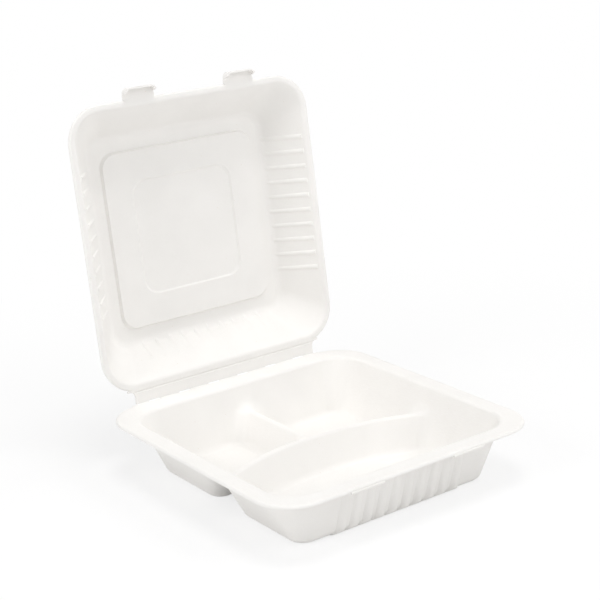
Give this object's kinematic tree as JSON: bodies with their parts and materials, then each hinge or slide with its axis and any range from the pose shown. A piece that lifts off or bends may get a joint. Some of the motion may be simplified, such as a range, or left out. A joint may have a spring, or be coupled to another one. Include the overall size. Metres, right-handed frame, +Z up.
{
  "type": "hinged three-compartment meal box",
  "caption": "Moulded plant-fibre meal box: a tray with a long front compartment and a pair of smaller rear ones, and a domed lid hinged along the back.",
  "frame": {"origin": "on the front compartment's flat underside, on which the box stands, midway across and 59 mm behind the tray's front edge", "axes": "+Z up, +Y from the fluted front wall towards the hinge, X along the hinge"},
  "size_m": [0.228, 0.2865, 0.2759],
  "materials": {
    "tray_pulp": "matte moulded pulp",
    "lid_pulp": "matte moulded pulp"
  },
  "bodies": {
    "tray": {"tray": "tray_pulp"},
    "lid": {"lid": "lid_pulp"}
  },
  "joints": [
    {"name": "lid_hinge", "type": "hinge", "parent": "tray", "child": "lid", "pos_m": [0, 0.169, 0.04315], "axis": [-1, 0, 0], "range_deg": [-97, 83]}
  ]
}
